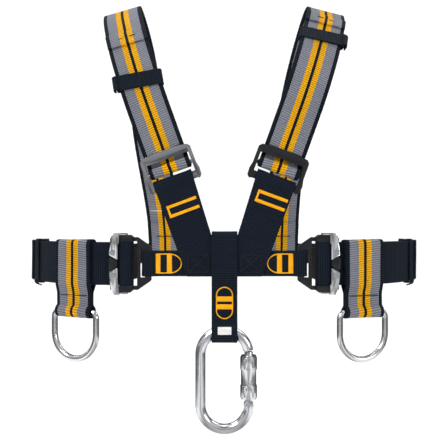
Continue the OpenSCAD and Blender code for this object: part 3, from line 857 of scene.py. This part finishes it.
beltShape = {"widthMm": 45, "wrapX": 23.65, "wrapR": 3.05, "tailEndDeg": 78, "hemDeg": 10,
             "lapDeg": 104, "tailGap": 2.5, "hemGap": 2.3, "backWidth": 27, "backInset": 2.4,
             "keeperDeg": 58, "keeperMm": 12, "keeperTall": 23.8, "keeperDeep": 3.8,
             "keeperOut": 1.3}


def flankPoints(radius, startDeg, endDeg, count):
    # Round the flank centre, the angle counted from the front
    turn = np.radians(np.linspace(startDeg, endDeg, count))
    return np.stack([place["flatHalf"] / mm + radius * np.sin(turn),
                     place["flankY"] / mm - radius * np.cos(turn)], axis=1)


def makeSideBelt(name, side, shape=beltShape):
    # From the tail's hem forward, round the adjuster bar, then back round the flank
    y = place["frontY"] / mm
    forkX = place["forkX"] / mm
    mainR = place["flankR"] / mm
    tailR = mainR + shape["tailGap"]
    hemStart = shape["tailEndDeg"] - shape["hemDeg"]
    line = np.vstack([
        flankPoints(tailR + shape["hemGap"], hemStart, shape["tailEndDeg"], 12),
        flankPoints(tailR, shape["tailEndDeg"], 1, 70),
        [[forkX + 35.5, y - 2.8], [forkX + 31.5, y - 2 * shape["wrapR"]]],
        arc(forkX + shape["wrapX"], y - shape["wrapR"], shape["wrapR"], -90, -270, 14),
        flankPoints(mainR, 0, shape["lapDeg"], 90)])
    line = line * np.array([side, 1])
    webbing(name + "_belt_webbing", planPath(line, place["beltZ"]), upAxis, shape["widthMm"],
            blackWide, replaced=(name + "_side_belt",), softMm=1.4, wobbleMm=0.2)


def makeBackBelt(shape=beltShape):
    # Round the rear half of each flank, inside the side belts, and straight across the back
    radius = place["flankR"] / mm - shape["backInset"]
    half = np.vstack([flankPoints(radius, 92, 180, 60), [[60, place["flankY"] / mm + radius]]])
    other = half[::-1] * np.array([-1, 1])
    webbing("back_belt_webbing", planPath(np.vstack([half, other]), place["beltZ"]), upAxis,
            shape["backWidth"], blackWide, replaced=("back_belt",), wobbleMm=0.25)


def flankFrame(side, angleDeg):
    # Along the belt, outward from the flank centre, and the flank centre at belt height
    turn = math.radians(angleDeg)
    alongBelt = np.array([side * math.cos(turn), math.sin(turn), 0])
    outward = np.array([side * math.sin(turn), -math.cos(turn), 0])
    centre = np.array([side * place["flatHalf"], place["flankY"], place["beltZ"]])
    return centre, alongBelt, outward


def makeBeltKeeper(name, side, shape=beltShape):
    # A flat band round both layers of the side belt, with a short sewn end below
    centre, alongBelt, outward = flankFrame(side, shape["keeperDeg"])
    n = place["flankR"] / mm + shape["keeperOut"]
    near, far = n - shape["keeperDeep"], n + shape["keeperDeep"]
    tall = shape["keeperTall"]
    outline = np.array([[far, 0], [far, tall], [near, tall], [near, -tall], [far, -tall]])
    ringPath = centre + (outline[:, :1] * outward + outline[:, 1:] * upAxis) * mm
    webbing(name + "_belt_keeper_band", ringPath, alongBelt, shape["keeperMm"], blackRib,
            replaced=(name + "_belt_keeper",), ring=True, thickMm=1.5,
            softMm=1.2)
    lug = np.array([[n + 4.2, -21], [n + 3.6, -25.6], [n - 1, -27.2]])
    lugPath = centre + alongBelt * 3 * mm + (lug[:, :1] * outward + lug[:, 1:] * upAxis) * mm
    webbing(name + "_belt_keeper_end", lugPath, alongBelt, shape["keeperMm"] - 1, blackRib,
            thickMm=1.3, softMm=1.2)


for sideName, side in (("left", -1), ("right", 1)):
    makeSideBelt(sideName, side)
    makeBeltKeeper(sideName, side)
makeBackBelt()
print("side and back belts made")


ringShape = {"eyeDrop": 51, "eyeR": 5.7, "bar": 6.3, "width": 60, "corner": 7,
             "arm": 16.6, "loopWidth": 45, "loopBack": 6.3, "loopFront": 4.1, "loopHalf": 1.2,
             "seamZ": -34, "seamMm": 34}


def ringFrame(name, side):
    # The ring's place sideways gives its angle round the flank
    n = place["flankR"] / mm + ringShape["loopHalf"]
    x = abs(middle(name + "_side_ring")[0]) - place["flatHalf"]
    return flankFrame(side, math.degrees(math.asin(x / (n * mm)))) + (n,)


def makeRingLoop(name, side, shape=ringShape):
    # A closed band over the side belt, drawn in below it and round at the eye for the ring
    centre, alongBelt, outward, n = ringFrame(name, side)
    eye = arc(n, -shape["eyeDrop"], shape["eyeR"], 78, -258, 28)
    back, front = n - shape["loopBack"], n + shape["loopFront"]
    inner, outer = n - shape["loopHalf"], n + shape["loopHalf"]
    line = np.vstack([
        [[back, 22], [back + 1.3, 24], [front - 1.3, 24], [front, 22], [front, -22],
         [outer, -31], [outer, -44]],
        eye,
        [[inner, -44], [inner, -31], [back, -22]]])
    path = centre + (line[:, :1] * outward + line[:, 1:] * upAxis) * mm
    webbing(name + "_ring_loop_webbing", path, alongBelt, shape["loopWidth"], stripedWide,
            replaced=(name + "_ring_loop",), ring=True, softMm=1.4,
            wobbleMm=0.25)
    seam = centre + (outward * (n + 2.4) + upAxis * shape["seamZ"]) * mm
    bartack(name + "_ring_loop_seam", seam, alongBelt, upAxis, shape["seamMm"], 0.9, darkThread,
            riseMm=0.35)


def ringPoints(shape=ringShape):
    # Closed outline as across and down: straight bar, two corners, two arms and a half circle
    side = (shape["width"] - shape["bar"]) / 2
    corner = shape["corner"]
    low = -corner - shape["arm"]
    return np.vstack([
        [[0.0, 0.0]],
        arc(side - corner, -corner, corner, 90, 0, 10),
        arc(0, low, side, 0, -180, 48),
        arc(corner - side, -corner, corner, 180, 90, 10)])


def makeSideRing(name, side, shape=ringShape):
    # A round bar carried round the outline, its straight side in the loop's eye
    centre, alongBelt, outward, n = ringFrame(name, side)
    origin = centre + (outward * n - upAxis * shape["eyeDrop"]) * mm
    outline = ringPoints()
    path = origin + (outline[:, :1] * alongBelt + outline[:, 1:] * upAxis) * mm
    path = smoothPath(path, 0.9, 0.9, ring=True)
    roundBar(name + "_ring_bar", path, shape["bar"] / 2, polishedSteel, name + "_ring",
             (name + "_side_ring",), ring=True, around=28)


for sideName, side in (("left", -1), ("right", 1)):
    makeRingLoop(sideName, side)
    makeSideRing(sideName, side)
print("ring loops and rings made")


# Node, finish, body, slot and the width in mm of its rounded edges
hardware = [
    # The left frame buckle's steel has a painted dark reflection in its base colour
    ("left_frame_buckle", paintedDarkReflectionSteel, "harness", "polished_steel", 0.9),
    ("right_frame_buckle", blackSteel, "harness", "black_steel", 0.9),
    ("connector_body", polishedSteel, "connector", "polished_steel", 0.4),
    ("connector_gate", polishedSteel, "gate", "polished_steel", 0.3),
    ("locking_sleeve", polishedSteel, "sleeve", "polished_steel", 0.3),
]
for sideName in ("left", "right"):
    for part, bevelMm in (("_fork", 0.6), ("_buckle_body", 0.7), ("_hub_cap", 0.6)):
        hardware.append((sideName + part, blackSteel, "harness", "black_steel", bevelMm))
    for part in ("_upper_lever", "_lower_lever"):
        hardware.append((sideName + part, polishedSteel, sideName + part, "polished_steel", 0.5))
for node, material, body, slot, bevelMm in hardware:
    finishedMetal(node, material, body, bevelMm)

# CAD nodes whose own shape stays, with only a new finish
# The left slide bar's steel has a painted dark reflection in its base colour
plainNodes = {"left_slide_bar": paintedDarkReflectionSteel, "right_slide_bar": blackSteel,
              "gate_pivot": polishedSteel, "gate_spring": polishedSteel}
for sideName in ("left", "right"):
    plainNodes[sideName + "_adjuster_bar"] = blackSteel
    for part in ("_lever_pins", "_upper_lever_spring", "_lower_lever_spring"):
        plainNodes[sideName + part] = polishedSteel
for node, material in plainNodes.items():
    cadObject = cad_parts[node]
    if not cadObject.material_slots:
        cadObject.data.materials.append(material)
    for materialSlot in cadObject.material_slots:
        materialSlot.material = material
print("hardware finished")


roomBands = {
    "height": [(0.0, 0.55), (0.08, 0.16), (0.17, 1.3), (0.50, 1.3), (0.60, 0.05), (0.84, 0.08),
               (1.0, 0.9)],
    "side": [(0.0, 0.50), (0.12, 0.16), (0.22, 1.4), (0.60, 1.4), (0.72, 0.05), (1.0, 0.05)],
}


studio = {"floorDrop": 0.62, "size": 7.0, "backWall": 2.4, "tone": (0.95, 0.95, 0.95),
          "strips": [(0.0, 0.50), (0.12, 0.22), (0.24, 0.92), (0.58, 0.92), (0.74, 0.06),
                     (1.0, 0.12)],
          "behind": [(0.0, 1.0), (0.56, 1.0), (0.68, 0.12), (1.0, 0.05)]}


def makeStage(shape=studio):
    # One sheet: a floor that bends up into a wall behind, as a sweep
    made, shader, surface = newMaterial("paleSweep")
    # Metal mirrors the sweep as light and dark strips, which the camera doesn't see itself
    split = shader.add("ShaderNodeSeparateXYZ", {
        0: shader.add("ShaderNodeTexCoord").outputs["Object"]}).outputs
    strips = levelRamp(shader, shader.math("ABSOLUTE", split[0]), shape["strips"])
    behind = levelRamp(shader, shader.math("MULTIPLY_ADD", split[1], 1.0, 0.5), shape["behind"])
    mirrored = shader.add("ShaderNodeLightPath").outputs["Is Glossy Ray"]
    level = shader.math("MULTIPLY_ADD", mirrored, shader.math("SUBTRACT", shader.math(
        "MULTIPLY", strips, behind), 1.0), 1.0)
    paint(shader, surface, shape["tone"], level)
    surface.inputs["Roughness"].default_value = 0.9
    half = shape["size"] / 2
    turn = np.radians(np.linspace(0, 90, 24))
    bend = 1.0
    yz = np.vstack([[[-half, 0.0]],
                    np.stack([shape["backWall"] - bend + bend * np.sin(turn),
                              bend - bend * np.cos(turn)], axis=1),
                    [[shape["backWall"], 4.0]]])
    yz[:, 1] -= shape["floorDrop"]
    rows = len(yz)
    points = np.vstack([np.column_stack([np.full(rows, x), yz]) for x in (-half, half)])
    k = np.arange(rows - 1)
    faces = np.stack([k, k + rows, k + rows + 1, k + 1], axis=-1)
    mesh = bpy.data.meshes.new("studio_sweep")
    mesh.from_pydata(points.tolist(), [], faces.tolist())
    mesh.polygons.foreach_set("use_smooth", np.ones(len(faces), bool))
    mesh.materials.append(made)
    placed("studio_sweep", mesh)


lights = {
    "keyLight": {"at": (-1.0, -1.3, 0.9), "to": (0, -0.05, -0.25), "size": 0.7, "power": 20},
    "fillLight": {"at": (1.3, -1.2, 0.0), "to": (0, -0.05, -0.25), "size": 0.6, "power": 6},
    "topLight": {"at": (0.0, -0.1, 1.2), "to": (0, -0.05, -0.25), "size": 0.9, "power": 8},
    "sweepLeft": {"at": (-1.6, 0.7, 1.6), "to": (-0.5, 2.4, 0.2), "size": 1.2, "power": 22},
    "sweepRight": {"at": (1.6, 0.7, 1.6), "to": (0.5, 2.4, 0.2), "size": 1.2, "power": 22},
}


def makeLights(room=0.38):
    for name, values in lights.items():
        lamp = bpy.data.lights.new(name, "AREA")
        lamp.shape = "DISK"
        lamp.size = values["size"]
        lamp.energy = values["power"]
        holder = placed(name, lamp)
        holder.location = values["at"]
        toward = Vector(values["to"]) - Vector(values["at"])
        holder.rotation_euler = toward.to_track_quat("-Z", "Y").to_euler()
    world = bpy.data.worlds.new("paleRoom")
    world.use_nodes = True
    # Bands by height and to either side, like soft boxes and dark gaps for the metal to
    # mirror; the greater of the two counts, and the camera itself sees plain white
    shader = Shader(world.node_tree)
    direction = shader.add("ShaderNodeTexCoord").outputs["Generated"]
    split = shader.add("ShaderNodeSeparateXYZ", {0: direction}).outputs
    byHeight = levelRamp(shader, split[2], roomBands["height"])
    bySide = levelRamp(shader, shader.math("ABSOLUTE", split[0]), roomBands["side"])
    level = shader.math("MAXIMUM", byHeight, bySide)
    seen = shader.add("ShaderNodeLightPath").outputs["Is Camera Ray"]
    level = shader.math("MAXIMUM", shader.math("MULTIPLY", level, room), seen)
    background = world.node_tree.nodes["Background"]
    background.inputs[0].default_value = (1, 1, 1, 1)
    world.node_tree.links.new(level, background.inputs[1])
    bpy.context.scene.world = world


cameraPlace = {"at": (-0.0047, -0.872, -0.253), "lens": 57.0}


def makeCamera(values=cameraPlace):
    camera = bpy.data.cameras.new("frontCamera")
    camera.lens = values["lens"]
    camera.sensor_width = 36.0
    holder = placed("frontCamera", camera)
    holder.location = values["at"]
    holder.rotation_euler = (math.radians(90), 0, 0)
    bpy.context.scene.camera = holder


bpy.context.scene.view_settings.view_transform = "Standard"
makeStage()
makeLights()
makeCamera()
print("studio made")
